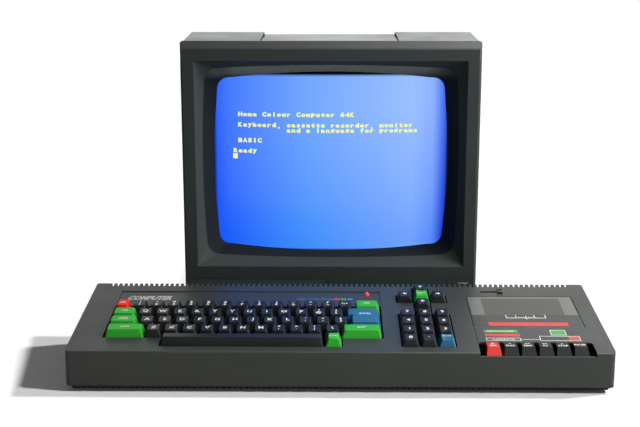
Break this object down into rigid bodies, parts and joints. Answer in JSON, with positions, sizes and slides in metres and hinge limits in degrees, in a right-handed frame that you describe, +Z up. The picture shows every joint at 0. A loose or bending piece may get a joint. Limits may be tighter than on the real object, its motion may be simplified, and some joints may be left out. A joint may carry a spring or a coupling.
{
  "type": "vintage home computer",
  "caption": "Home computer of the 1980s: keyboard console with built-in cassette recorder and number pad, and its matching colour monitor standing behind it.",
  "frame": {"origin": "middle of the footprint of console and monitor together, on the desk", "axes": "+X is the user's right, +Y runs from the console's front to the monitor's back, +Z is up"},
  "size_m": [0.57, 0.58, 0.3608],
  "materials": {
    "case_grey": "moulded dark grey ABS, finely textured",
    "base_black": "moulded black ABS",
    "frame_black": "moulded blue-black polystyrene, finely textured",
    "screen_glass": "lit picture tube glass",
    "tube_steel": "zinc plated band",
    "copper_yoke": "enamelled copper windings",
    "board_green": "printed circuit board",
    "part_black": "black moulded plastic",
    "rubber": "black rubber",
    "screw_steel": "zinc plated steel",
    "contact_brown": "phenolic board",
    "lamp_red": "lit red lamp",
    "key_black": "satin black keys with white legends",
    "key_green": "satin green keys",
    "key_red": "satin red keys",
    "key_blue": "satin blue keys",
    "window_smoke": "smoked clear plastic",
    "carrier_black": "black moulded plastic",
    "chassis_steel": "pressed steel",
    "motor_steel": "drawn steel can",
    "flywheel_brass": "turned brass",
    "spindle_white": "white acetal",
    "belt_rubber": "black rubber belt",
    "counter_white": "white plastic with black digits"
  },
  "bodies": {
    "computer": {"console_top_case": "case_grey", "console_base": "base_black", "monitor_bezel": "frame_black", "monitor_rear_shell": "frame_black", "picture_tube": "screen_glass", "tube_band": "tube_steel", "deflection_yoke": "copper_yoke", "neck_board": "board_green", "monitor_chassis_board": "board_green", "flyback_transformer": "part_black", "lead_grommets": "rubber", "rubber_feet": "rubber", "case_screws": "screw_steel", "key_guide_plate": "part_black", "contact_board": "contact_brown", "main_circuit_board": "board_green", "rear_sockets": "part_black", "loudspeaker": "part_black", "power_lamp": "lamp_red", "tape_chassis": "chassis_steel", "tape_motor": "motor_steel", "drive_belt": "belt_rubber", "tape_counter": "part_black"},
    "escape_key": {"escape_key": "key_red"},
    "tab_key": {"tab_key": "key_green"},
    "caps_lock_key": {"caps_lock_key": "key_green"},
    "left_shift_key": {"left_shift_key": "key_green"},
    "delete_key": {"delete_key": "key_green"},
    "enter_key": {"enter_key": "key_blue"},
    "right_shift_key": {"right_shift_key": "key_green"},
    "control_key": {"control_key": "key_green"},
    "space_bar": {"space_bar": "key_black"},
    "copy_key": {"copy_key": "key_green"},
    "keypad_enter_key": {"keypad_enter_key": "key_blue"},
    "cursor_keys": {"cursor_keys": "key_black"},
    "number_row_keys": {"number_row_keys": "key_black"},
    "upper_row_keys": {"upper_row_keys": "key_black"},
    "home_row_keys": {"home_row_keys": "key_black"},
    "lower_row_keys": {"lower_row_keys": "key_black"},
    "keypad_keys": {"keypad_keys": "key_black"},
    "cassette_door": {"cassette_door": "case_grey", "cassette_window": "window_smoke", "cassette_carrier": "carrier_black"},
    "record_key": {"record_key": "key_red"},
    "play_key": {"play_key": "key_black"},
    "rewind_key": {"rewind_key": "key_black"},
    "fast_forward_key": {"fast_forward_key": "key_black"},
    "stop_eject_key": {"stop_eject_key": "key_black"},
    "pause_key": {"pause_key": "key_black"},
    "head_sledge": {"head_sledge": "chassis_steel"},
    "pinch_roller": {"pinch_roller": "rubber"},
    "flywheel": {"flywheel": "flywheel_brass"},
    "take_up_spindle": {"take_up_spindle": "spindle_white"},
    "supply_spindle": {"supply_spindle": "spindle_white"},
    "counter_units_wheel": {"counter_units_wheel": "counter_white"},
    "counter_reset_button": {"counter_reset_button": "part_black"},
    "volume_wheel": {"volume_wheel": "part_black"},
    "power_switch_slider": {"power_switch_slider": "part_black"},
    "monitor_power_button": {"monitor_power_button": "part_black"},
    "brightness_wheel": {"brightness_wheel": "part_black"}
  },
  "joints": [
    {"name": "escape_key_press", "type": "slide", "parent": "computer", "child": "escape_key", "axis": [0, 0.1635, -0.9866], "range_m": [0, 0.004], "stiffness_N_per_m": 150, "springref_m": -0.0006},
    {"name": "tab_key_press", "type": "slide", "parent": "computer", "child": "tab_key", "axis": [0, 0.1635, -0.9866], "range_m": [0, 0.004], "stiffness_N_per_m": 150, "springref_m": -0.0006},
    {"name": "caps_lock_key_press", "type": "slide", "parent": "computer", "child": "caps_lock_key", "axis": [0, 0.1635, -0.9866], "range_m": [0, 0.004], "stiffness_N_per_m": 150, "springref_m": -0.0006},
    {"name": "left_shift_key_press", "type": "slide", "parent": "computer", "child": "left_shift_key", "axis": [0, 0.1635, -0.9866], "range_m": [0, 0.004], "stiffness_N_per_m": 150, "springref_m": -0.0006},
    {"name": "delete_key_press", "type": "slide", "parent": "computer", "child": "delete_key", "axis": [0, 0.1635, -0.9866], "range_m": [0, 0.004], "stiffness_N_per_m": 150, "springref_m": -0.0006},
    {"name": "enter_key_press", "type": "slide", "parent": "computer", "child": "enter_key", "axis": [0, 0.1635, -0.9866], "range_m": [0, 0.004], "stiffness_N_per_m": 150, "springref_m": -0.0006},
    {"name": "right_shift_key_press", "type": "slide", "parent": "computer", "child": "right_shift_key", "axis": [0, 0.1635, -0.9866], "range_m": [0, 0.004], "stiffness_N_per_m": 150, "springref_m": -0.0006},
    {"name": "control_key_press", "type": "slide", "parent": "computer", "child": "control_key", "axis": [0, 0.1635, -0.9866], "range_m": [0, 0.004], "stiffness_N_per_m": 150, "springref_m": -0.0006},
    {"name": "space_bar_press", "type": "slide", "parent": "computer", "child": "space_bar", "axis": [0, 0.1635, -0.9866], "range_m": [0, 0.004], "stiffness_N_per_m": 150, "springref_m": -0.0006},
    {"name": "copy_key_press", "type": "slide", "parent": "computer", "child": "copy_key", "axis": [0, 0.1635, -0.9866], "range_m": [0, 0.004], "stiffness_N_per_m": 150, "springref_m": -0.0006},
    {"name": "keypad_enter_key_press", "type": "slide", "parent": "computer", "child": "keypad_enter_key", "axis": [0, 0.1635, -0.9866], "range_m": [0, 0.004], "stiffness_N_per_m": 150, "springref_m": -0.0006},
    {"name": "cursor_keys_press", "type": "slide", "parent": "computer", "child": "cursor_keys", "axis": [0, 0.1635, -0.9866], "range_m": [0, 0.004], "stiffness_N_per_m": 600, "springref_m": -0.0006},
    {"name": "number_row_keys_press", "type": "slide", "parent": "computer", "child": "number_row_keys", "axis": [0, 0.1635, -0.9866], "range_m": [0, 0.004], "stiffness_N_per_m": 1950, "springref_m": -0.0006},
    {"name": "upper_row_keys_press", "type": "slide", "parent": "computer", "child": "upper_row_keys", "axis": [0, 0.1635, -0.9866], "range_m": [0, 0.004], "stiffness_N_per_m": 1800, "springref_m": -0.0006},
    {"name": "home_row_keys_press", "type": "slide", "parent": "computer", "child": "home_row_keys", "axis": [0, 0.1635, -0.9866], "range_m": [0, 0.004], "stiffness_N_per_m": 1800, "springref_m": -0.0006},
    {"name": "lower_row_keys_press", "type": "slide", "parent": "computer", "child": "lower_row_keys", "axis": [0, 0.1635, -0.9866], "range_m": [0, 0.004], "stiffness_N_per_m": 1650, "springref_m": -0.0006},
    {"name": "keypad_keys_press", "type": "slide", "parent": "computer", "child": "keypad_keys", "axis": [0, 0.1635, -0.9866], "range_m": [0, 0.004], "stiffness_N_per_m": 1650, "springref_m": -0.0006},
    {"name": "cassette_door_hinge", "type": "hinge", "parent": "computer", "child": "cassette_door", "pos_m": [0.20575, -0.23101, 0.05195], "axis": [1, 0, 0], "range_deg": [0, 45]},
    {"name": "record_key_press", "type": "hinge", "parent": "computer", "child": "record_key", "pos_m": [0.1603, -0.237, 0.033], "axis": [1, 0, 0], "range_deg": [0, 8], "stiffness_Nm_per_rad": 0.8, "springref_deg": -3.44},
    {"name": "play_key_press", "type": "hinge", "parent": "computer", "child": "play_key", "pos_m": [0.1784, -0.237, 0.033], "axis": [1, 0, 0], "range_deg": [0, 8], "stiffness_Nm_per_rad": 0.8, "springref_deg": -3.44},
    {"name": "rewind_key_press", "type": "hinge", "parent": "computer", "child": "rewind_key", "pos_m": [0.1965, -0.237, 0.033], "axis": [1, 0, 0], "range_deg": [0, 8], "stiffness_Nm_per_rad": 0.8, "springref_deg": -3.44},
    {"name": "fast_forward_key_press", "type": "hinge", "parent": "computer", "child": "fast_forward_key", "pos_m": [0.2146, -0.237, 0.033], "axis": [1, 0, 0], "range_deg": [0, 8], "stiffness_Nm_per_rad": 0.8, "springref_deg": -3.44},
    {"name": "stop_eject_key_press", "type": "hinge", "parent": "computer", "child": "stop_eject_key", "pos_m": [0.2327, -0.237, 0.033], "axis": [1, 0, 0], "range_deg": [0, 8], "stiffness_Nm_per_rad": 0.8, "springref_deg": -3.44},
    {"name": "pause_key_press", "type": "hinge", "parent": "computer", "child": "pause_key", "pos_m": [0.2508, -0.237, 0.033], "axis": [1, 0, 0], "range_deg": [0, 8], "stiffness_Nm_per_rad": 0.8, "springref_deg": -3.44},
    {"name": "head_sledge_slide", "type": "slide", "parent": "computer", "child": "head_sledge", "axis": [0, 0.9866, 0.1635], "range_m": [0, 0.003]},
    {"name": "pinch_roller_spin", "type": "hinge", "parent": "head_sledge", "child": "pinch_roller", "pos_m": [0.22975, -0.22362, 0.03979], "axis": [0, -0.1635, 0.9866], "continuous": true},
    {"name": "flywheel_spin", "type": "hinge", "parent": "computer", "child": "flywheel", "pos_m": [0.22975, -0.2111, 0.02666], "axis": [0, -0.1635, 0.9866], "continuous": true},
    {"name": "take_up_spindle_spin", "type": "hinge", "parent": "computer", "child": "take_up_spindle", "pos_m": [0.227, -0.1861, 0.04094], "axis": [0, -0.1635, 0.9866], "continuous": true},
    {"name": "supply_spindle_spin", "type": "hinge", "parent": "computer", "child": "supply_spindle", "pos_m": [0.1845, -0.1861, 0.04094], "axis": [0, -0.1635, 0.9866], "continuous": true},
    {"name": "counter_units_wheel_spin", "type": "hinge", "parent": "computer", "child": "counter_units_wheel", "pos_m": [0.1784, -0.14203, 0.05939], "axis": [1, 0, 0], "continuous": true},
    {"name": "counter_reset_button_press", "type": "slide", "parent": "computer", "child": "counter_reset_button", "axis": [0, 0.1635, -0.9866], "range_m": [0, 0.002], "stiffness_N_per_m": 200, "springref_m": -0.0006},
    {"name": "volume_wheel_turn", "type": "hinge", "parent": "computer", "child": "volume_wheel", "pos_m": [0.2705, -0.202, 0.0265], "axis": [0, 0, 1], "range_deg": [-135, 135]},
    {"name": "power_switch_slide", "type": "slide", "parent": "computer", "child": "power_switch_slider", "axis": [0, 1, 0], "range_m": [0, 0.006]},
    {"name": "monitor_power_button_press", "type": "slide", "parent": "computer", "child": "monitor_power_button", "axis": [0, 1, 0], "range_m": [0, 0.004], "stiffness_N_per_m": 250, "springref_m": -0.0006},
    {"name": "brightness_wheel_turn", "type": "hinge", "parent": "computer", "child": "brightness_wheel", "pos_m": [0.1555, -0.049, 0.0725], "axis": [0, 0, 1], "range_deg": [-135, 135]}
  ],
  "couplings": [
    {"joint": "play_key_press", "follows": "head_sledge_slide", "rad_per_m": 46.54},
    {"joint": "counter_units_wheel_spin", "follows": "take_up_spindle_spin", "ratio": 0.05}
  ]
}
